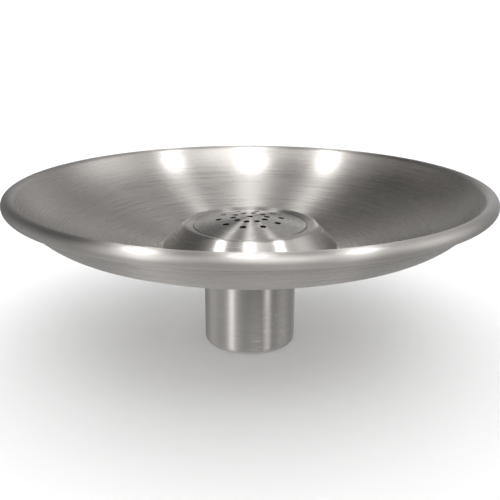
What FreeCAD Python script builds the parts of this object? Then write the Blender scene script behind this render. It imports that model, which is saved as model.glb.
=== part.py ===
import FreeCAD, Part
import math
import os
import Sketcher

# Emergency shower head, standing on its inlet end with the dish facing up.
# Row frame: origin at the centre of the inlet end face, +Z along the water's way, towards the spray face. Millimetres.

os.makedirs("parts", exist_ok=True)
doc = FreeCAD.newDocument("ShowerHead")
Vector = FreeCAD.Vector

# name, value, what it is
SIZES = [
    # Spun dish: a shallow spherical bowl, a bend up to a steep wall, and an edge curled outwards into a round roll
    ("rim_height", "84.5", "height of the roll's centre above the inlet end"),
    ("roll_centre", "121.55", "distance of the roll's centre from the axis"),
    ("roll_radius", "3.45", "outside radius of the roll"),
    ("curl_end", "40", "direction the underside of the sheet faces at the curl's cut edge"),
    ("sheet", "1.5", "thickness of the dish's sheet"),
    ("bend_radius", "35.1", "outside radius of the bend below the roll"),
    ("bend_top", "68", "slope of the wall where the roll starts"),
    ("bend_low", "23.5", "slope of the bowl where the bend starts"),
    ("bend_centre", "=roll_centre - (roll_radius + bend_radius - sheet) * sin(bend_top)",
     "centre of the bend, from the axis"),
    ("bend_height", "=rim_height + (roll_radius + bend_radius - sheet) * cos(bend_top)", "height of that centre"),
    ("cap_radius", "=bend_centre / sin(bend_low) + bend_radius", "outside radius of the bowl"),
    ("cap_centre", "=bend_height + (cap_radius - bend_radius) * cos(bend_low)", "height of the bowl's centre"),
    # Inlet socket
    ("socket_radius", "24.7", "outside of the socket"),
    ("socket_round", "2.4", "rounding of the outer edge at the inlet"),
    ("thread_bore", "19.475", "minor radius of a 1 1/4 in pipe thread"),
    ("thread_top", "27", "end of the threaded bore"),
    ("lead_in", "1.6", "bevel at the mouth of the thread"),
    ("cavity_radius", "19", "seat bore for the flow regulator"),
    ("seat_height", "37", "shoulder the regulator rests against"),
    ("throat_radius", "14.5", "waterway above the regulator"),
    ("spigot_radius", "20", "neck that passes up through the dish"),
    ("spigot_top", "50.8", "top of the neck"),
    ("groove_low", "29.5", "lower side of the retaining ring's groove"),
    ("groove_width", "1.4", "width of that groove"),
    ("groove_radius", "20.3", "bottom of that groove"),
    ("weld_leg", "3", "leg of the weld between neck and dish"),
    ("seam", "0.03", "gap left between pieces that are welded or pressed together"),
    # Diffuser: truncated cone with a rounded shoulder and a short upright skirt
    ("cone_sheet", "1.2", "thickness of the diffuser's sheet"),
    ("skirt_radius", "46.8", "outside of the skirt"),
    ("skirt_bottom", "52.7", "lower edge of the skirt, above the dish by the width of the water slot"),
    ("base_round", "3", "bend between skirt and cone"),
    ("cone_normal", "43", "direction the cone's surface faces, above level"),
    ("shoulder_centre", "34.2", "centre of the shoulder's bend, from the axis"),
    ("shoulder_height", "63.3", "height of that centre"),
    ("shoulder_round", "3", "outside radius of the shoulder's bend"),
    ("ledge_normal", "107", "direction the ledge inside the shoulder faces"),
    ("lip_round", "1.3", "bend from the ledge down into the lip"),
    ("lip_radius", "30", "inside of the lip that holds the face"),
    ("lip_bottom", "61.5", "lower edge of the lip"),
    ("base_centre", "=skirt_radius - base_round", "centre of the base bend, from the axis"),
    ("base_height", "=shoulder_height + ((shoulder_centre - base_centre) * cos(cone_normal)"
                    " + shoulder_round - base_round) / sin(cone_normal)", "height of that centre"),
    ("lip_centre", "=lip_radius + lip_round", "centre of the lip's bend, from the axis"),
    ("lip_height", "=shoulder_height + ((shoulder_centre - lip_centre) * cos(ledge_normal)"
                   " + shoulder_round - lip_round) / sin(ledge_normal)", "height of that centre"),
    # Domed, perforated face
    ("dome_top", "69.5", "top of the dome"),
    ("dome_radius", "111", "outside radius of the dome"),
    ("face_radius", "=lip_radius - seam", "edge of the face"),
    ("dome_centre", "=dome_top - dome_radius", "height of the dome's centre"),
    ("face_edge", "=dome_centre + sqrt(dome_radius ^ 2 - face_radius ^ 2)", "height of the dome at its edge"),
    ("spray_hole", "1.65", "radius of each spray hole"),
    ("inner_ring", "8.95", "radius of the inner circle of holes"),
    ("outer_ring", "16.8", "radius of the outer circle of holes"),
    ("ring_turn", "5.6", "direction of the first hole of each circle"),
    ("face_weld_leg", "2", "leg of the weld under the face's edge"),
    # Ribs that hold the diffuser clear of the dish
    ("rib_inner", "36.5", "inner edge of a rib"),
    ("rib_outer", "45.4", "outer edge of a rib"),
    ("rib_width", "3", "thickness of a rib"),
    # Flow regulator
    ("regulator_radius", "18.9", "outside of the regulator's body"),
    ("regulator_low", "31", "inlet side of the regulator's body"),
    ("regulator_hole", "4", "centre hole"),
    ("recess_inner", "8", "inner wall of the recess that holds the flow ring"),
    ("recess_outer", "14.5", "outer wall of that recess"),
    ("recess_depth", "3", "depth of that recess"),
    ("port_circle", "11.25", "circle of the ports under the flow ring"),
    ("port_radius", "1.8", "radius of a port"),
    ("flow_ring_radius", "1.45", "half thickness of the flow ring"),
    ("seal_radius", "0.88", "half thickness of the seal ring"),
    ("seal_centre", "18.1", "circle of the seal ring's centre line"),
    ("seal_height", "34.2", "height of the seal ring"),
    ("snap_ring_inner", "17.4", "inside of the retaining ring"),
    ("snap_ring_width", "1.2", "thickness of the retaining ring"),
    ("snap_ring_gap", "7", "opening in the retaining ring"),
]
SPRAY_HOLES = 10  # in each circle
PORTS = 10
RIBS = 3
FIRST_RIB = 30  # degrees

sheet = doc.addObject("Spreadsheet::Sheet", "Sizes")
for row, (name, value, note) in enumerate(SIZES, start=1):
    sheet.set(f"A{row}", name)
    sheet.set(f"B{row}", value)
    sheet.set(f"C{row}", note)
    sheet.setAlias(f"B{row}", name)
doc.recompute()
NAMES = sorted((name for name, _, _ in SIZES), key=len, reverse=True)


def linked(expression):
    """The expression with every size name pointing at the sheet."""
    words = []
    word = ""
    for char in str(expression) + " ":
        if char.isalnum() or char == "_":
            word += char
            continue
        words.append("Sizes." + word if word in NAMES else word)
        words.append(char)
        word = ""
    return "".join(words).strip()


def value(expression):
    result = sheet.evalExpression(linked(expression))
    return float(getattr(result, "Value", result))


def plane(body, role):
    return next(item for item in body.Origin.OriginFeatures if item.Role == role)


def new_body(label):
    body = doc.addObject("PartDesign::Body", label)
    body.Label = label
    return body


def new_sketch(body, name, role="XZ_Plane"):
    sketch = body.newObject("Sketcher::SketchObject", name)
    sketch.AttachmentSupport = [(plane(body, role), "")]
    sketch.MapMode = "FlatFace"
    return sketch


def bind(sketch, kind, *where, to):
    """Adds a dimension to the sketch and ties it to the sheet."""
    index = sketch.addConstraint(Sketcher.Constraint(kind, *where, value(to)))
    sketch.setExpression(f"Constraints[{index}]", linked(to))


def hold_point(sketch, geometry, end, x, z):
    """Ties a point's two coordinates to the sheet, or puts it on the axis it lies on."""
    for kind, axis, text in (("DistanceX", -2, x), ("DistanceY", -1, z)):
        if abs(value(text)) < 1e-9:
            sketch.addConstraint(Sketcher.Constraint("PointOnObject", geometry, end, axis))
        else:
            bind(sketch, kind, -1, 1, geometry, end, to=text)


def outline(body, name, corners):
    """A closed outline. Each corner is (x, z, arc); arc is None for a straight edge to the next corner,
    or (centre x, centre z, radius, +1 or -1 for the way it turns)."""
    sketch = new_sketch(body, name)
    points = [Vector(value(x), value(z), 0) for x, z, _ in corners]
    for number, (_, _, arc) in enumerate(corners):
        start, end = points[number], points[(number + 1) % len(points)]
        if arc is None:
            sketch.addGeometry(Part.LineSegment(start, end), False)
            continue
        centre = Vector(value(arc[0]), value(arc[1]), 0)
        first, last = (start, end) if arc[3] > 0 else (end, start)
        angles = [math.atan2(point.y - centre.y, point.x - centre.x) for point in (first, last)]
        if angles[1] < angles[0]:
            angles[1] += 2 * math.pi
        circle = Part.Circle(centre, Vector(0, 0, 1), value(arc[2]))
        sketch.addGeometry(Part.ArcOfCircle(circle, *angles), False)
    for number, (x, z, arc) in enumerate(corners):
        following = (number + 1) % len(corners)
        turned = arc is not None and arc[3] < 0
        next_arc = corners[following][2]
        next_turned = next_arc is not None and next_arc[3] < 0
        sketch.addConstraint(Sketcher.Constraint(
            "Coincident", number, 1 if turned else 2, following, 2 if next_turned else 1))
        hold_point(sketch, number, 2 if turned else 1, x, z)
        if arc is not None:
            bind(sketch, "Radius", number, to=arc[2])
    return sketch


def revolve(body, sketch):
    doc.recompute()
    turned = body.newObject("PartDesign::Revolution", sketch.Name + "_turned")
    turned.Profile = sketch
    turned.ReferenceAxis = (sketch, ["V_Axis"])
    turned.Angle = 360
    doc.recompute()
    return turned


def lathe(label, corners):
    body = new_body(label)
    revolve(body, outline(body, label + "_outline", corners))
    return body


def spun_sheet(label, thickness, stations):
    """A piece of spun sheet. Each station is (x, z, radius, direction): the sheet's outer face passes the circle of
    that radius about (x, z) where it faces that direction. A circle outside the sheet has a negative radius.
    Two stations in a row on one circle are joined by its arc, and others by a straight line, or by nothing where
    the circles touch."""
    outer, inner = [], []
    for number, (x, z, radius, direction) in enumerate(stations):
        here = (x, z, radius)
        before = stations[number - 1][:3] if number else None
        after = stations[number + 1][:3] if number + 1 < len(stations) else None
        less = f"({radius} - {thickness})"
        turn = 1 if value(radius) > 0 else -1
        forward = (x, z, f"abs({radius})", turn) if after == here else None
        back = (x, z, f"abs({less})", -turn) if before == here else None
        outer.append((f"{x} + {radius} * cos({direction})", f"{z} + {radius} * sin({direction})", forward))
        inner.append((f"{x} + {less} * cos({direction})", f"{z} + {less} * sin({direction})", back))
    corners = outer + inner[::-1]
    places = [Vector(value(x), value(z), 0) for x, z, _ in corners]
    apart = [arc is not None or places[number].distanceToPoint(places[(number + 1) % len(places)]) > 1e-6
             for number, (_, _, arc) in enumerate(corners)]
    return lathe(label, [corner for corner, kept in zip(corners, apart) if kept])


def cut_through(body, name, circles, copies=0):
    """Holes along the axis from circles (distance, direction, radius), repeated around the axis."""
    before = body.Shape.Volume
    sketch = new_sketch(body, name, "XY_Plane")
    for number, (distance, direction, radius) in enumerate(circles):
        x, y = f"{distance} * cos({direction})", f"{distance} * sin({direction})"
        sketch.addGeometry(Part.Circle(Vector(value(x), value(y), 0), Vector(0, 0, 1), value(radius)), False)
        hold_point(sketch, number, 3, x, y)
        bind(sketch, "Radius", number, to=radius)
    doc.recompute()
    pocket = body.newObject("PartDesign::Pocket", name + "_cut")
    pocket.Profile = sketch
    pocket.Type = 1
    pocket.Reversed = True
    doc.recompute()
    if copies:
        pattern = body.newObject("PartDesign::PolarPattern", name + "_ring")
        pattern.Originals = [pocket]
        pattern.Axis = (sketch, ["N_Axis"])
        pattern.Angle = 360
        pattern.Occurrences = copies
        body.Tip = pattern
        doc.recompute()
    assert body.Shape.Volume < before - 1, name


def round_edge(body, radius_of_edge, height, size):
    """Rounds the circular edge with that radius at that height."""
    base = body.Tip
    names = [
        f"Edge{number}" for number, edge in enumerate(base.Shape.Edges, start=1)
        if hasattr(edge.Curve, "Radius") and abs(edge.Curve.Radius - value(radius_of_edge)) < 1e-3
        and abs(edge.BoundBox.ZMin - value(height)) < 1e-3 and edge.BoundBox.ZLength < 1e-3
    ]
    assert names, body.Label
    fillet = body.newObject("PartDesign::Fillet", body.Label + "_round")
    fillet.Base = (base, names)
    fillet.setExpression("Radius", linked(size))
    doc.recompute()


def under_dish(x):
    return f"(cap_centre - sqrt(cap_radius ^ 2 - {x} ^ 2))"


def dish_floor(x):
    return f"(cap_centre - sqrt((cap_radius - sheet) ^ 2 - {x} ^ 2))"


# ---- Dish ----
dish_start = "(asin((spigot_radius + 2 * seam) / (cap_radius - sheet)) - 90deg)"
spun_sheet("spray_dish", "sheet", [
    ("0", "cap_centre", "cap_radius", dish_start),
    ("0", "cap_centre", "cap_radius", "(bend_low - 90)"),
    ("bend_centre", "bend_height", "bend_radius", "(bend_low - 90)"),
    ("bend_centre", "bend_height", "bend_radius", "(bend_top - 90)"),
    ("roll_centre", "rim_height", "(sheet - roll_radius)", "(bend_top - 90)"),
    ("roll_centre", "rim_height", "(sheet - roll_radius)", "curl_end"),
])

# ---- Inlet socket and the weld that joins it to the dish ----
socket = lathe("inlet_socket", [
    ("thread_bore + lead_in", "0", None),
    ("socket_radius", "0", None),
    ("socket_radius", under_dish("socket_radius") + " - seam", None),
    ("spigot_radius", under_dish("spigot_radius") + " - seam", None),
    ("spigot_radius", "spigot_top", None),
    ("throat_radius", "spigot_top", None),
    ("throat_radius", "seat_height", None),
    ("cavity_radius", "seat_height", None),
    ("cavity_radius", "groove_low + groove_width", None),
    ("groove_radius", "groove_low + groove_width", None),
    ("groove_radius", "groove_low", None),
    ("cavity_radius", "groove_low", None),
    ("cavity_radius", "thread_top", None),
    ("thread_bore", "thread_top", None),
    ("thread_bore", "lead_in", None),
])
round_edge(socket, "socket_radius", "0", "socket_round")

weld_end = "(spigot_radius + weld_leg)"
lathe("socket_weld", [
    ("spigot_radius + seam", dish_floor("spigot_radius") + " + seam", None),
    (weld_end, dish_floor(weld_end) + " + seam", None),
    ("spigot_radius + seam", dish_floor("spigot_radius") + " + weld_leg", None),
])

# ---- Diffuser ----
spun_sheet("diffuser_cone", "cone_sheet", [
    ("base_centre", "skirt_bottom", "base_round", "0"),
    ("base_centre", "base_height", "base_round", "0"),
    ("base_centre", "base_height", "base_round", "cone_normal"),
    ("shoulder_centre", "shoulder_height", "shoulder_round", "cone_normal"),
    ("shoulder_centre", "shoulder_height", "shoulder_round", "ledge_normal"),
    ("lip_centre", "lip_height", "lip_round", "ledge_normal"),
    ("lip_centre", "lip_height", "lip_round", "180"),
    ("lip_centre", "lip_bottom", "lip_round", "180"),
])

inner_dome = "(dome_radius - cone_sheet)"
inner_edge = f"(dome_centre + sqrt({inner_dome} ^ 2 - face_radius ^ 2))"
hole_top = "(dome_centre + sqrt(dome_radius ^ 2 - spray_hole ^ 2))"
hole_low = f"(dome_centre + sqrt({inner_dome} ^ 2 - spray_hole ^ 2))"
face = lathe("rose_face", [
    ("face_radius", inner_edge, None),
    ("face_radius", "face_edge", ("0", "dome_centre", "dome_radius", 1)),
    ("spray_hole", hole_top, None),
    ("spray_hole", hole_low, ("0", "dome_centre", inner_dome, -1)),
])
cut_through(face, "spray_holes", [
    ("inner_ring", "ring_turn", "spray_hole"),
    ("outer_ring", "ring_turn", "spray_hole"),
], SPRAY_HOLES)

weld_start = "(face_radius - face_weld_leg)"
lathe("face_weld", [
    ("face_radius", f"{inner_edge} - face_weld_leg", None),
    ("face_radius", f"{inner_edge} - seam", None),
    (weld_start, f"dome_centre + sqrt({inner_dome} ^ 2 - {weld_start} ^ 2) - seam", None),
])

# ---- Ribs between the dish and the diffuser ----
clear = "(base_round - cone_sheet - seam)"
rib_corner = f"(base_centre + {clear} * cos(cone_normal))"
for number in range(RIBS):
    rib = new_body(f"diffuser_rib_{number + 1}")
    shape = outline(rib, rib.Label + "_outline", [
        ("rib_inner", dish_floor("rib_inner") + " + seam", None),
        ("rib_outer", dish_floor("rib_outer") + " + seam", None),
        ("rib_outer", "base_height", None),
        (rib_corner, f"base_height + {clear} * sin(cone_normal)", None),
        ("rib_inner", f"base_height + {clear} * sin(cone_normal) + ({rib_corner} - rib_inner) / tan(cone_normal)",
         None),
    ])
    doc.recompute()
    pad = rib.newObject("PartDesign::Pad", rib.Label + "_pad")
    pad.Profile = shape
    pad.Midplane = True
    pad.setExpression("Length", linked("rib_width"))
    rib.Placement = FreeCAD.Placement(Vector(), FreeCAD.Rotation(Vector(0, 0, 1), FIRST_RIB + 360 / RIBS * number))
doc.recompute()

# ---- Flow regulator, its rings and the ring that keeps it in the socket ----
regulator = lathe("regulator_body", [
    ("regulator_hole", "regulator_low", None),
    ("recess_inner", "regulator_low", None),
    ("recess_inner", "regulator_low + recess_depth", None),
    ("recess_outer", "regulator_low + recess_depth", None),
    ("recess_outer", "regulator_low", None),
    ("regulator_radius", "regulator_low", None),
    ("regulator_radius", "seal_height - seal_radius - 0.15", None),
    ("seal_centre - seal_radius - seam", "seal_height - seal_radius - 0.15", None),
    ("seal_centre - seal_radius - seam", "seal_height + seal_radius + 0.15", None),
    ("regulator_radius", "seal_height + seal_radius + 0.15", None),
    ("regulator_radius", "seat_height - seam", None),
    ("regulator_hole", "seat_height - seam", None),
])
cut_through(regulator, "ports", [("port_circle", "0", "port_radius")], PORTS)


def ring(label, centre, height, thickness):
    torus = doc.addObject("Part::Torus", label)
    torus.Label = label
    torus.setExpression("Radius1", linked(centre))
    torus.setExpression("Radius2", linked(thickness))
    torus.setExpression("Placement.Base.z", linked(height))
    return torus


rings = [
    ring("flow_ring", "port_circle", "(regulator_low + recess_depth - flow_ring_radius - seam)", "flow_ring_radius"),
    ring("seal_ring", "seal_centre", "seal_height", "seal_radius"),
]

snap_ring = lathe("retaining_ring", [
    ("snap_ring_inner", "groove_low + 0.1", None),
    ("groove_radius - 0.1", "groove_low + 0.1", None),
    ("groove_radius - 0.1", "groove_low + 0.1 + snap_ring_width", None),
    ("snap_ring_inner", "groove_low + 0.1 + snap_ring_width", None),
])
gap = new_sketch(snap_ring, "gap", "XY_Plane")
half = value("snap_ring_gap") / 2
reach = value("groove_radius") + 1
corners = [Vector(0, -half, 0), Vector(reach, -half, 0), Vector(reach, half, 0), Vector(0, half, 0)]
for number in range(4):
    gap.addGeometry(Part.LineSegment(corners[number], corners[(number + 1) % 4]), False)
for number in range(4):
    gap.addConstraint(Sketcher.Constraint("Coincident", number, 2, (number + 1) % 4, 1))
    gap.addConstraint(Sketcher.Constraint("Vertical" if number % 2 else "Horizontal", number))
gap.addConstraint(Sketcher.Constraint("Symmetric", 0, 1, 3, 1, -1, 1))
bind(gap, "DistanceY", 1, 1, 1, 2, to="snap_ring_gap")
bind(gap, "DistanceX", 0, 1, 0, 2, to="groove_radius + 1")
doc.recompute()
opening = snap_ring.newObject("PartDesign::Pocket", "gap_cut")
opening.Profile = gap
opening.Type = 1
opening.Reversed = True
doc.recompute()

# ---- Check and export ----
for item in doc.Objects:
    assert not {"Invalid", "Error"} & set(item.State), (item.Label, item.State)
bodies = [item for item in doc.Objects if item.TypeId == "PartDesign::Body"]
for body in bodies + rings:
    assert not body.Shape.isNull() and body.Shape.isValid(), body.Label
    body.Shape.exportStep(f"parts/{body.Label}.step")
    print(f"{body.Label}: {len(body.Shape.Solids)} solid, {body.Shape.Volume / 1000:.2f} cm3")
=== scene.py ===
import math

import bmesh
import bpy
from mathutils import Matrix, Vector
from mathutils.geometry import delaunay_2d_cdt


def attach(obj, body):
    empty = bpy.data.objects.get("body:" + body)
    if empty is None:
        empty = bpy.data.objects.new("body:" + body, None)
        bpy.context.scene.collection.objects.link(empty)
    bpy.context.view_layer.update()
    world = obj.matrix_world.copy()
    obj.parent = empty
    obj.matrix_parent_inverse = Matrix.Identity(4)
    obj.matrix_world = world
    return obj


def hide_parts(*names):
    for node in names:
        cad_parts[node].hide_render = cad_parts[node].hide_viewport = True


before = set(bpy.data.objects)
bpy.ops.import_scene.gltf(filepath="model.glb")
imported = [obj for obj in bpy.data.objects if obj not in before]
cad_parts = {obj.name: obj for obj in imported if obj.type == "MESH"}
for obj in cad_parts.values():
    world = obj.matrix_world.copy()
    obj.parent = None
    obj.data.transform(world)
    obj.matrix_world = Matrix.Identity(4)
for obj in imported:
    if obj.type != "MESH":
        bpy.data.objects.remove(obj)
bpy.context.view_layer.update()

MM = 0.001
TAU = 2 * math.pi

# ---- The part's own sizes, in millimetres, as the CAD has them ----
RIM_HEIGHT, ROLL_CENTRE, ROLL_RADIUS, CURL_END = 84.5, 121.55, 3.45, -140.0
SHEET, BEND_RADIUS, BEND_TOP, BEND_LOW = 1.5, 35.1, 68.0, 23.5
SOCKET_RADIUS, SOCKET_ROUND, SEAM = 24.7, 2.4, 0.03
THREAD_BORE, THREAD_TOP, LEAD_IN, PITCH, THREAD_DEPTH = 19.475, 27.0, 1.6, 2.309, 1.35
CAVITY_RADIUS, SEAT_HEIGHT, THROAT_RADIUS = 19.0, 37.0, 14.5
SPIGOT_RADIUS, SPIGOT_TOP = 20.0, 50.8
GROOVE_LOW, GROOVE_WIDTH, GROOVE_RADIUS = 29.5, 1.4, 20.3
CONE_SHEET, SKIRT_RADIUS, SKIRT_BOTTOM, BASE_ROUND = 1.2, 46.8, 52.7, 3.0
CONE_NORMAL, LEDGE_NORMAL = 43.0, 107.0
SHOULDER_CENTRE, SHOULDER_HEIGHT, SHOULDER_ROUND = 34.2, 63.3, 3.0
LIP_ROUND, LIP_RADIUS, LIP_BOTTOM = 1.3, 30.0, 61.5
DOME_TOP, DOME_RADIUS = 69.5, 111.0
FACE_RADIUS = LIP_RADIUS - SEAM
SPRAY_HOLE, INNER_RING, OUTER_RING, RING_TURN = 1.65, 8.95, 16.8, 5.6
HOLE_ROUND = 0.1
HOLE_TOP = SPRAY_HOLE + HOLE_ROUND
WELD_LEG, FACE_WELD_LEG = 3.0, 2.0


def cos(degrees):
    return math.cos(math.radians(degrees))


def sin(degrees):
    return math.sin(math.radians(degrees))


BEND_CENTRE = ROLL_CENTRE - (ROLL_RADIUS + BEND_RADIUS - SHEET) * sin(BEND_TOP)
BEND_HEIGHT = RIM_HEIGHT + (ROLL_RADIUS + BEND_RADIUS - SHEET) * cos(BEND_TOP)
CAP_RADIUS = BEND_CENTRE / sin(BEND_LOW) + BEND_RADIUS
CAP_CENTRE = BEND_HEIGHT + (CAP_RADIUS - BEND_RADIUS) * cos(BEND_LOW)


def bend_height(centre, normal, radius):
    """Height of a bend's centre so that it shares a tangent line with the shoulder's bend."""
    rise = (SHOULDER_CENTRE - centre) * cos(normal) + SHOULDER_ROUND - radius
    return SHOULDER_HEIGHT + rise / sin(normal)


def arc(x, z, radius, start, end, step=4.0):
    """Points along an arc, in degrees, both ends included."""
    count = max(2, int(abs(end - start) / step) + 1)
    turns = [start + (end - start) * i / count for i in range(count + 1)]
    return [(x + radius * cos(turn), z + radius * sin(turn)) for turn in turns]


def line(start, end, count):
    """Points between two ends, both ends left out."""
    return [(start[0] + (end[0] - start[0]) * i / count, start[1] + (end[1] - start[1]) * i / count)
            for i in range(1, count)]


def cap(radius, x):
    """Height of the bowl's spherical part at x from the axis."""
    return CAP_CENTRE - math.sqrt(radius ** 2 - x ** 2)


# ---- Meshes ----
def finish_mesh(name, bm, sharp=35):
    """Turns a bmesh into an object, smooth except at edges sharper than this angle."""
    bmesh.ops.remove_doubles(bm, verts=bm.verts, dist=1e-7)
    bmesh.ops.recalc_face_normals(bm, faces=bm.faces)
    mesh = bpy.data.meshes.new(name)
    bm.to_mesh(mesh)
    bm.free()
    for polygon in mesh.polygons:
        polygon.use_smooth = True
    mesh.set_sharp_from_angle(angle=math.radians(sharp))
    piece = bpy.data.objects.new(name, mesh)
    bpy.context.scene.collection.objects.link(piece)
    return piece


def lathe(name, profile, segments=256, shift=None, sharp=35):
    """A closed profile turned about the axis. shift(angle, r, z) may move a point to a new (r, z)."""
    bm = bmesh.new()
    rows = []
    for s in range(segments):
        angle = TAU * s / segments
        row = []
        for r, z in profile:
            if shift:
                r, z = shift(angle, r, z)
            row.append(bm.verts.new((r * math.cos(angle) * MM, r * math.sin(angle) * MM, z * MM)))
        rows.append(row)
    count = len(profile)
    for s in range(segments):
        here, there = rows[s], rows[(s + 1) % segments]
        for i in range(count):
            j = (i + 1) % count
            bm.faces.new((here[i], there[i], there[j], here[j]))
    return finish_mesh(name, bm, sharp)


# Dish: one sheet, from the hole for the neck to the cut edge of the curl
hole_angle = math.degrees(math.asin((SPIGOT_RADIUS + 2 * SEAM) / (CAP_RADIUS - SHEET)))
ROLL_START = 90 + BEND_TOP
dish_profile = (
    arc(0, CAP_CENTRE, CAP_RADIUS, hole_angle - 90, BEND_LOW - 90, 0.5)
    + arc(BEND_CENTRE, BEND_HEIGHT, BEND_RADIUS, BEND_LOW - 90, BEND_TOP - 90, 1.5)[1:]
    + arc(ROLL_CENTRE, RIM_HEIGHT, ROLL_RADIUS - SHEET, ROLL_START, CURL_END, 8)[1:]
    + arc(ROLL_CENTRE, RIM_HEIGHT, ROLL_RADIUS, CURL_END, ROLL_START, 5)
    + arc(BEND_CENTRE, BEND_HEIGHT, BEND_RADIUS - SHEET, BEND_TOP - 90, BEND_LOW - 90, 1.5)[1:]
    + arc(0, CAP_CENTRE, CAP_RADIUS - SHEET, BEND_LOW - 90, hole_angle - 90, 0.5)[1:]
)
dish = lathe("SprayDish", dish_profile, 360)

# Diffuser cone: skirt, flank, rounded shoulder, ledge and lip
base_centre = SKIRT_RADIUS - BASE_ROUND
base_height = bend_height(base_centre, CONE_NORMAL, BASE_ROUND)
lip_centre = LIP_RADIUS + LIP_ROUND
lip_height = bend_height(lip_centre, LEDGE_NORMAL, LIP_ROUND)


def cone_side(inset):
    """The outer line of the cone's sheet, moved inwards by inset."""
    bends = [
        arc(base_centre, base_height, BASE_ROUND - inset, 0, CONE_NORMAL),
        arc(SHOULDER_CENTRE, SHOULDER_HEIGHT, SHOULDER_ROUND - inset, CONE_NORMAL, LEDGE_NORMAL),
        arc(lip_centre, lip_height, LIP_ROUND - inset, LEDGE_NORMAL, 180, 12),
    ]
    cut = 0.15 if inset == 0 else -0.15
    skirt = SKIRT_RADIUS - inset
    points = [(skirt - cut, SKIRT_BOTTOM), (skirt, SKIRT_BOTTOM + 0.15)] + bends[0]
    points += line(bends[0][-1], bends[1][0], 12) + bends[1]
    points += line(bends[1][-1], bends[2][0], 3) + bends[2]
    return points + [(LIP_RADIUS + inset, LIP_BOTTOM + 0.15), (LIP_RADIUS + inset + cut, LIP_BOTTOM)]


cone = lathe("DiffuserCone", cone_side(0) + cone_side(CONE_SHEET)[::-1], 256)


# Face: a thin dome with punched holes, each slightly rounded over at its outer edge
def dome(radius, r):
    """Height of a dome of this radius at r from the axis."""
    return DOME_TOP - DOME_RADIUS + math.sqrt(radius ** 2 - r ** 2)


holes = [(0.0, 0.0)]
for ring in (INNER_RING, OUTER_RING):
    holes += [(ring * cos(RING_TURN + 36 * k), ring * sin(RING_TURN + 36 * k)) for k in range(10)]


def rose_face():
    """A dome of even triangles, with a finer ring of them round each hole."""
    spots, edges = [], []

    def circle(x, y, radius, count, fixed):
        first = len(spots)
        for k in range(count):
            spots.append((x + radius * math.cos(TAU * k / count), y + radius * math.sin(TAU * k / count)))
            if fixed:
                edges.append((first + k, first + (k + 1) % count))

    circle(0, 0, FACE_RADIUS, 180, True)
    for x, y in holes:
        circle(x, y, HOLE_TOP, 32, True)
        circle(x, y, SPRAY_HOLE + 0.55, 32, False)
    for k in range(1, 34):
        radius = FACE_RADIUS * k / 34
        count = max(8, int(TAU * radius / 0.95))
        for i in range(count):
            x, y = radius * math.cos(TAU * i / count), radius * math.sin(TAU * i / count)
            if all(math.hypot(x - a, y - b) > SPRAY_HOLE + 0.9 for a, b in holes):
                spots.append((x, y))
    out, _, triangles, _, _, _ = delaunay_2d_cdt([Vector(s) for s in spots], edges, [], 1, 1e-6)
    keep = []
    for triangle in triangles:
        x = sum(out[i][0] for i in triangle) / 3
        y = sum(out[i][1] for i in triangle) / 3
        if all(math.hypot(x - a, y - b) > HOLE_TOP - 0.03 for a, b in holes):
            keep.append(tuple(triangle))
    bm = bmesh.new()
    inner_dome = DOME_RADIUS - CONE_SHEET
    layers = []
    for radius in (DOME_RADIUS, inner_dome):
        layers.append([bm.verts.new((p[0] * MM, p[1] * MM, dome(radius, math.hypot(*p)) * MM)) for p in out])
    for a, b, c in keep:
        bm.faces.new((layers[0][a], layers[0][b], layers[0][c]))
        bm.faces.new((layers[1][a], layers[1][c], layers[1][b]))
    bmesh.ops.delete(bm, geom=[v for v in bm.verts if not v.link_faces], context="VERTS")

    # Walls: round each hole, and round the outer edge
    def boundary(x, y, radius, height):
        found = [v for v in bm.verts if any(e.is_boundary for e in v.link_edges)
                 and abs(math.hypot(v.co.x / MM - x, v.co.y / MM - y) - radius) < 0.01
                 and abs(v.co.z / MM - dome(height, math.hypot(v.co.x / MM, v.co.y / MM))) < 0.01]
        return sorted(found, key=lambda v: math.atan2(v.co.y / MM - y, v.co.x / MM - x))

    def skin(rings):
        for low, high in zip(rings, rings[1:]):
            for k in range(len(low)):
                n = (k + 1) % len(low)
                bm.faces.new((low[k], low[n], high[n], high[k]))

    for x, y in holes:
        top, bottom = boundary(x, y, HOLE_TOP, DOME_RADIUS), boundary(x, y, HOLE_TOP, inner_dome)
        rings = [top]
        for inset, drop in ((0.3 * HOLE_ROUND, 0.1 * HOLE_ROUND), (0.7 * HOLE_ROUND, 0.3 * HOLE_ROUND),
                            (HOLE_ROUND, HOLE_ROUND)):
            rings.append([bm.verts.new((
                x * MM + (v.co.x - x * MM) * (HOLE_TOP - inset) / HOLE_TOP,
                y * MM + (v.co.y - y * MM) * (HOLE_TOP - inset) / HOLE_TOP,
                v.co.z - drop * MM)) for v in top])
        rings.append([bm.verts.new((a.co.x, a.co.y, b.co.z + 0.1 * MM)) for a, b in zip(rings[-1], bottom)])
        rings.append(bottom)
        skin(rings)
    skin([boundary(0, 0, FACE_RADIUS, DOME_RADIUS), boundary(0, 0, FACE_RADIUS, inner_dome)])
    return finish_mesh("RoseFace", bm, 50)


face = rose_face()


# Socket: turned outside, and a real helical thread cut into the bore
def thread(angle, r, z):
    """Whitworth-like ridges that fade out at both ends of the bore."""
    if not (0.35 < z < THREAD_TOP - 0.01 and r < THREAD_BORE + LEAD_IN + 0.01):
        return r, z
    turn = (z / PITCH - angle / TAU) % 1.0
    ridge = 0.5 - 0.5 * math.cos(TAU * turn)
    depth = THREAD_DEPTH * min(1, (THREAD_TOP - z) / 3.0) * ridge
    return max(r, THREAD_BORE + depth), z


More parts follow.
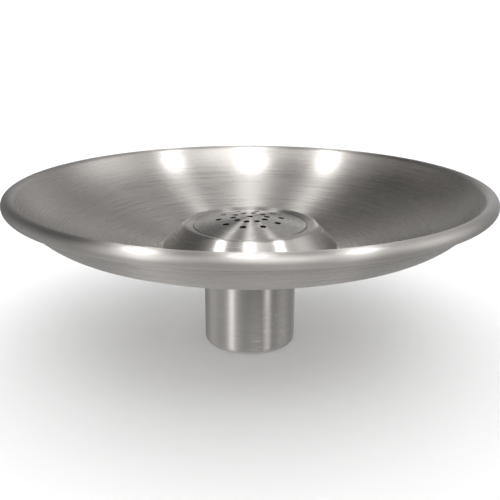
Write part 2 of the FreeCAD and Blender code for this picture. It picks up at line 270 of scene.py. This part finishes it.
neck_low = cap(CAP_RADIUS, SPIGOT_RADIUS) - SEAM
neck_out = cap(CAP_RADIUS, SOCKET_RADIUS) - SEAM
bore_rows = [(THREAD_BORE + max(0.0, LEAD_IN - z), z) for z in
             [THREAD_TOP - 0.15 * k for k in range(0, int(THREAD_TOP / 0.15))]]
socket_profile = (
    [(THREAD_BORE + LEAD_IN, 0)] + line((THREAD_BORE + LEAD_IN, 0), (SOCKET_RADIUS - SOCKET_ROUND, 0), 3)
    + arc(SOCKET_RADIUS - SOCKET_ROUND, SOCKET_ROUND, SOCKET_ROUND, -90, 0, 7)
    + line((SOCKET_RADIUS, SOCKET_ROUND), (SOCKET_RADIUS, neck_out), 30)
    + [(SOCKET_RADIUS, neck_out), (SPIGOT_RADIUS, neck_low)]
    + line((SPIGOT_RADIUS, neck_low), (SPIGOT_RADIUS, SPIGOT_TOP), 5)
    + arc(SPIGOT_RADIUS - 0.5, SPIGOT_TOP - 0.5, 0.5, 0, 90, 20)
    + arc(THROAT_RADIUS + 0.5, SPIGOT_TOP - 0.5, 0.5, 90, 180, 20)
    + [(THROAT_RADIUS, SEAT_HEIGHT), (CAVITY_RADIUS, SEAT_HEIGHT), (CAVITY_RADIUS, GROOVE_LOW + GROOVE_WIDTH),
       (GROOVE_RADIUS, GROOVE_LOW + GROOVE_WIDTH), (GROOVE_RADIUS, GROOVE_LOW), (CAVITY_RADIUS, GROOVE_LOW),
       (CAVITY_RADIUS, THREAD_TOP)]
    + bore_rows
)
socket = lathe("InletSocket", socket_profile, 192, thread, 40)


# Welds: rippled beads
RIPPLE = 0.12  # height of a ripple, as a share of the weld's leg


def bead(name, inner, height, leg, side, count):
    """A weld of ripples. side is +1 where it lies against an inner wall, -1 against an outer one."""
    def ripple(angle, r, z):
        wave = (angle * count / TAU) % 1.0
        lift = RIPPLE * leg * (math.sqrt(max(0.0, 1 - (2 * wave - 1) ** 2)) - 0.5)
        push = max(0.0, min(1.0, (abs(r - inner) + abs(z - height)) / leg))
        return r + side * lift * push * 0.5, z + side * lift * push * 0.5

    steps = 7
    rim = []
    for i in range(steps + 1):
        t = i / steps
        bulge = 0.7 * RIPPLE * leg * math.sin(math.pi * t)
        rim.append((inner + side * (leg * (1 - t) + bulge), height + side * (leg * t + bulge)))
    return lathe(name, [(inner, height)] + rim, count * 6, ripple, 60)


neck_weld = bead("NeckWeld", SPIGOT_RADIUS + SEAM, cap(CAP_RADIUS - SHEET, SPIGOT_RADIUS) + 0.12,
                 WELD_LEG - 0.45, 1, 58)
face_weld = bead("FaceWeld", FACE_RADIUS - 0.02, dome(DOME_RADIUS - CONE_SHEET, FACE_RADIUS) - 0.06,
                 FACE_WELD_LEG - 0.3, -1, 84)


# ---- Materials ----
DARK_BAND, LAND_POLISH, LAND_SHARE = 0.87, 0.60, 0.36
USED = (0.3, 0.7)  # the range that a noise texture mostly keeps to
EDGE_DULL, EDGE_BLEND = 0.04, 0.002
# Painted shade in the spray holes: the near-black colour painted on the hole walls, and the radius where that
# painted shade stops
HOLE_SHADE, HOLE_SHADE_END = (0.035, 0.034, 0.033, 1), 0.027


class Graph:
    """A small helper that adds and links shader nodes."""

    def __init__(self, tree):
        self.nodes, self.links = tree.nodes, tree.links
        self.nodes.clear()

    def add(self, kind, **settings):
        node = self.nodes.new(kind)
        for key, setting in settings.items():
            setattr(node, key, setting)
        return node

    def link(self, start, end):
        self.links.new(start, end)

    def put(self, socket, item):
        if isinstance(item, bpy.types.NodeSocket):
            self.link(item, socket)
        else:
            socket.default_value = item

    def math(self, operation, *inputs):
        node = self.add("ShaderNodeMath", operation=operation)
        for socket, item in zip(node.inputs, inputs):
            self.put(socket, item)
        return node.outputs[0]

    def noise(self, vector, scale, detail=2.0, w=None, rough=0.5):
        node = self.add("ShaderNodeTexNoise", noise_dimensions="3D" if w is None else "4D")
        self.link(vector, node.inputs["Vector"])
        if w is not None:
            self.put(node.inputs["W"], w)
        node.inputs["Scale"].default_value = scale
        node.inputs["Detail"].default_value = detail
        node.inputs["Roughness"].default_value = rough
        return node.outputs["Fac"]

    def span(self, item, low, high, start=0.0, end=1.0):
        node = self.add("ShaderNodeMapRange")
        for socket, number in zip(node.inputs, (item, start, end, low, high)):
            self.put(socket, number)
        return node.outputs[0]

    def mix(self, factor, a, b):
        node = self.add("ShaderNodeMix", data_type="RGBA")
        self.put(node.inputs[0], factor)
        self.put(node.inputs[6], a)
        self.put(node.inputs[7], b)
        return node.outputs[2]

    def bump(self, height, strength, distance):
        node = self.add("ShaderNodeBump")
        node.inputs["Strength"].default_value = strength
        node.inputs["Distance"].default_value = distance
        self.link(height, node.inputs["Height"])
        return node.outputs[0]


def surface(name):
    """A new material's graph, with a Principled shader as its surface."""
    material = bpy.data.materials.new(name)
    material.use_nodes = True
    graph = Graph(material.node_tree)
    graph.material = material
    graph.shader = graph.add("ShaderNodeBsdfPrincipled")
    graph.output = graph.add("ShaderNodeOutputMaterial")
    graph.link(graph.shader.outputs[0], graph.output.inputs["Surface"])
    return graph


def around(graph):
    """Distance from the axis, height, and a vector that runs smoothly round the axis."""
    place = graph.add("ShaderNodeTexCoord").outputs["Object"]
    split = graph.add("ShaderNodeSeparateXYZ")
    graph.link(place, split.inputs[0])
    x, y, z = split.outputs
    radius = graph.math("SQRT", graph.math("ADD", graph.math("MULTIPLY", x, x), graph.math("MULTIPLY", y, y)))
    safe = graph.math("MAXIMUM", radius, 1e-5)
    return place, radius, z, graph.math("DIVIDE", x, safe), graph.math("DIVIDE", y, safe)


def turned_steel(name, tone, rough, anisotropy, lines=2600.0, groove=0.10, smudge=0.03, warm=0.045,
                 paint_hole_shade=False, dull_from=None):
    """Stainless steel with fine rings left by spinning and polishing on a lathe.

    Two reflections share the surface: a broad one from the grooves and a tighter one from the polished lands.
    """
    graph = surface(name)
    place, radius, z, across, along = around(graph)

    def turning(density, drift, detail, roughness):
        vector = graph.add("ShaderNodeCombineXYZ")
        for socket, item, scale in zip(vector.inputs, (radius, across, along), (density, drift, drift)):
            graph.link(graph.math("MULTIPLY", item, scale), socket)
        return graph.noise(vector.outputs[0], 1.0, detail, graph.math("MULTIPLY", z, density), roughness)

    rings = turning(lines, 5.0, 3.0, 0.6)
    bands = turning(lines / 4.5, 3.0, 3.0, 0.65)
    marks = graph.noise(place, 26.0, 4.0, rough=0.62)
    light = (tone * (1 + warm), tone, tone * (1 - warm), 1)
    dark = tuple(c * DARK_BAND for c in light[:3]) + (1,)
    blend = graph.math("ADD", graph.span(rings, -0.25, 0.55, *USED), graph.span(bands, 0.0, 0.7, *USED))
    colour = graph.mix(blend, dark, light)
    change = graph.span(marks, -smudge, smudge, *USED)
    for pattern in (rings, bands):
        change = graph.math("ADD", change, graph.span(pattern, -0.03, 0.03, *USED))
    if dull_from:  # the rolled edge is rubbed duller than the dish
        dull = graph.span(radius, 0, EDGE_DULL, dull_from, dull_from + EDGE_BLEND)
        change = graph.math("ADD", change, dull)
    if paint_hole_shade:  # painted shade: the walls of the spray holes are painted near black, where shade falls inside them
        upright = graph.add("ShaderNodeSeparateXYZ")
        graph.link(graph.add("ShaderNodeTexCoord").outputs["Normal"], upright.inputs[0])
        level = graph.span(graph.math("ABSOLUTE", upright.outputs[2]), 0, 1, 0.55, 0.93)
        level = graph.math("MAXIMUM", level, graph.span(radius, 0, 1, HOLE_SHADE_END, HOLE_SHADE_END + MM))
        colour = graph.mix(level, HOLE_SHADE, colour)
    tangent = graph.add("ShaderNodeTangent", direction_type="RADIAL", axis="Z").outputs[0]
    lands = graph.add("ShaderNodeBsdfPrincipled")
    relief = graph.bump(graph.math("ADD", rings, graph.math("MULTIPLY", bands, 0.8)), groove, 0.00006)
    for shader, level in ((graph.shader, rough), (lands, rough * LAND_POLISH)):
        graph.put(shader.inputs["Base Color"], colour)
        graph.put(shader.inputs["Roughness"], graph.math("ADD", change, level))
        shader.inputs["Metallic"].default_value = 1.0
        shader.inputs["Anisotropic"].default_value = anisotropy
        shader.inputs["Anisotropic Rotation"].default_value = 0.25
        graph.link(tangent, shader.inputs["Tangent"])
        graph.link(relief, shader.inputs["Normal"])
    both = graph.add("ShaderNodeMixShader")
    both.inputs[0].default_value = LAND_SHARE
    graph.link(graph.shader.outputs[0], both.inputs[1])
    graph.link(lands.outputs[0], both.inputs[2])
    graph.link(both.outputs[0], graph.output.inputs["Surface"])
    return graph.material


def plain_metal(name, tone, rough, tint=None, scale=(900, 900, 60)):
    """Metal with a straight grain, for small hidden pieces."""
    graph = surface(name)
    place = graph.add("ShaderNodeTexCoord").outputs["Object"]
    stretch = graph.add("ShaderNodeVectorMath", operation="MULTIPLY")
    graph.link(place, stretch.inputs[0])
    stretch.inputs[1].default_value = scale
    grain = graph.noise(stretch.outputs[0], 1.0, 3.0)
    marks = graph.noise(place, 140.0, 3.0)
    dark = tuple(c * 0.78 for c in tone) + (1,)
    colour = graph.mix(graph.span(grain, 0, 1, *USED), dark, tuple(tone) + (1,))
    if tint:
        colour = graph.mix(graph.span(marks, 0, 0.55, 0.45, 0.7), colour, tuple(tint) + (1,))
    graph.put(graph.shader.inputs["Base Color"], colour)
    change = graph.span(marks, -0.08, 0.08, *USED)
    graph.put(graph.shader.inputs["Roughness"], graph.math("ADD", change, rough))
    graph.shader.inputs["Metallic"].default_value = 1.0
    graph.link(graph.bump(graph.math("ADD", grain, marks), 0.15, 0.00008), graph.shader.inputs["Normal"])
    return graph.material


def rubber(name):
    """Dull black rubber with a fine grain."""
    graph = surface(name)
    place = graph.add("ShaderNodeTexCoord").outputs["Object"]
    marks, fine = graph.noise(place, 300.0, 3.0), graph.noise(place, 2400.0, 2.0)
    tone = graph.mix(graph.span(marks, 0, 1, *USED), (0.012, 0.012, 0.013, 1), (0.03, 0.03, 0.031, 1))
    graph.put(graph.shader.inputs["Base Color"], tone)
    graph.put(graph.shader.inputs["Roughness"], graph.span(marks, 0.5, 0.68, *USED))
    graph.link(graph.bump(fine, 0.2, 0.00006), graph.shader.inputs["Normal"])
    return graph.material


def wear(piece, material):
    """Gives a piece this one material."""
    piece.data.materials.clear()
    piece.data.materials.append(material)


dish_steel = turned_steel("DishSteel", 0.56, 0.47, 0.97, dull_from=0.1185)
cone_steel = turned_steel("ConeSteel", 0.55, 0.42, 0.95)
# the face gets painted shade on the walls of its spray holes
face_steel = turned_steel("FaceSteel", 0.56, 0.42, 0.95, 3200.0, paint_hole_shade=True)
socket_steel = turned_steel("SocketSteel", 0.57, 0.38, 0.92, 3600.0, 0.14)
weld_steel = plain_metal("WeldSteel", (0.40, 0.39, 0.38), 0.42, (0.34, 0.27, 0.20), (500, 500, 500))
rib_steel = plain_metal("RibSteel", (0.50, 0.49, 0.48), 0.34)
spring_steel = plain_metal("SpringSteel", (0.42, 0.41, 0.40), 0.30)
brass = plain_metal("TurnedBrass", (0.66, 0.50, 0.25), 0.28, (0.50, 0.36, 0.17), (1500, 1500, 1500))
black_rubber = rubber("BlackRubber")

for piece, node, slot, material in (
    (dish, "spray_dish", "spun_steel", dish_steel),
    (cone, "diffuser_cone", "diffuser_steel", cone_steel),
    (face, "rose_face", "face_steel", face_steel),
    (socket, "inlet_socket", "turned_steel", socket_steel),
    (neck_weld, "socket_weld", "weld_steel", weld_steel),
    (face_weld, "face_weld", "weld_steel", weld_steel),
):
    wear(piece, material)
    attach(piece, "root")
    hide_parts(node)

for node, material in (
    ("diffuser_rib_1", rib_steel), ("diffuser_rib_2", rib_steel), ("diffuser_rib_3", rib_steel),
    ("regulator_body", brass), ("retaining_ring", spring_steel),
    ("flow_ring", black_rubber), ("seal_ring", black_rubber),
):
    wear(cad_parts[node], material)

# ---- Stage ----
FLOOR_RADIUS, SWEEP, WALL, FLOOR_DROP = 1.6, 1.4, 1.6, 0.0001
LAMP_HEIGHT, LAMP_Y, LAMP_SIDE, LAMP_SIZE = 0.55, -0.12, 0.30, 0.075
FILL_HEIGHT, FILL_SIZE, FILL_POWER = 2.4, 4.0, 60
AIM = Vector((0, 0, 0.07))


def stage_floor():
    """A round pale floor that sweeps up into a backdrop all the way round."""
    rows = [(FLOOR_RADIUS * k / 8, 0.0) for k in range(1, 9)]
    rows += [(FLOOR_RADIUS + SWEEP * sin(a), SWEEP * (1 - cos(a))) for a in range(5, 91, 5)]
    rows += [(FLOOR_RADIUS + SWEEP, SWEEP + WALL)]
    bm = bmesh.new()
    count = 96
    rings = [[bm.verts.new((r * cos(360 * k / count), r * sin(360 * k / count), z - FLOOR_DROP))
              for k in range(count)] for r, z in rows]
    bm.faces.new(rings[0])
    for low, high in zip(rings, rings[1:]):
        for k in range(count):
            n = (k + 1) % count
            bm.faces.new((low[k], high[k], high[n], low[n]))
    floor = finish_mesh("StageFloor", bm, 60)
    graph = surface("StagePaper")
    place = graph.add("ShaderNodeTexCoord").outputs["Object"]
    tint = graph.mix(graph.noise(place, 3.0), (0.86, 0.86, 0.86, 1), (0.88, 0.88, 0.88, 1))
    graph.put(graph.shader.inputs["Base Color"], tint)
    graph.shader.inputs["Roughness"].default_value = 0.9
    graph.shader.inputs["Specular IOR Level"].default_value = 0.1
    wear(floor, graph.material)
    floor.visible_glossy = False  # the steel mirrors the soft room, not the paper
    floor.visible_shadow = False  # light from below reaches the underside through it


stage_floor()


def lamp(name, place, size, power):
    """A square soft box that faces the part."""
    data = bpy.data.lights.new(name, "AREA")
    data.shape, data.size, data.energy = "SQUARE", size, power
    light = bpy.data.objects.new(name, data)
    light.location = place
    light.rotation_euler = (Vector(place) - AIM).to_track_quat("Z", "Y").to_euler()
    bpy.context.scene.collection.objects.link(light)
    return light


# The three lamps leave the floor alone, and the floor's fill isn't mirrored in the steel
for name, x, power in (
    ("LampLeft", -LAMP_SIDE, 1.05),
    ("LampCentre", -0.005, 0.72),
    ("LampRight", LAMP_SIDE, 0.9),
):
    lamp(name, (x, LAMP_Y, LAMP_HEIGHT), LAMP_SIZE, power).visible_diffuse = False
lamp("FloorFill", (0, 0, FILL_HEIGHT), FILL_SIZE, FILL_POWER).visible_glossy = False

# Soft boxes in the room: turn from +Y towards +X and height above the horizon in degrees, strength, and how
# tight the glow is
SOFT_BOXES = (
    (165, 38, 5.0, 14),  # in front, over the camera
    (90, 25, 2.4, 10),  # right
    (225, 20, 2.6, 11),  # left, in front
    (15, 10, 0.75, 6),  # behind
    (285, -10, 0.6, 8),  # left, low
    (0, -90, 0.9, 2),  # light thrown up from the table
    (136, -14, 3.6, 110), (226, -14, 4.4, 110),  # two narrow strips beside the camera
)

world = bpy.data.worlds.new("StudioWorld")
bpy.context.scene.world = world
world.use_nodes = True
room = Graph(world.node_tree)
background = room.add("ShaderNodeBackground")
room.link(background.outputs[0], room.add("ShaderNodeOutputWorld").inputs["Surface"])
toward = room.add("ShaderNodeTexCoord").outputs["Generated"]
glow = 0.0
for turn, height, strength, tight in SOFT_BOXES:
    near = room.add("ShaderNodeVectorMath", operation="DOT_PRODUCT")
    room.link(toward, near.inputs[0])
    near.inputs[1].default_value = (cos(height) * sin(turn), cos(height) * cos(turn), sin(height))
    fall = room.math("EXPONENT", room.math("MULTIPLY_ADD", near.outputs["Value"], tight, -tight))
    glow = room.math("MULTIPLY_ADD", fall, strength, glow)
room.link(glow, background.inputs["Strength"])

# ---- Camera ----
CAMERA_AT = Vector((0.0, -0.3661, 0.1659))
PITCH_DOWN, ROLL, LENS = 17.46, 0.12, 51.05
camera_data = bpy.data.cameras.new("PhotoCamera")
camera_data.lens = LENS
camera_data.sensor_width = 36.0
camera_data.clip_start, camera_data.clip_end = 0.01, 50
camera = bpy.data.objects.new("PhotoCamera", camera_data)
camera.matrix_world = (
    Matrix.Translation(CAMERA_AT)
    @ Matrix.Rotation(math.radians(90 - PITCH_DOWN), 4, "X")
    @ Matrix.Rotation(math.radians(ROLL), 4, "Z")
)
bpy.context.scene.collection.objects.link(camera)
bpy.context.scene.camera = camera
bpy.context.scene.view_settings.view_transform = "Standard"
bpy.context.scene.view_settings.look = "None"
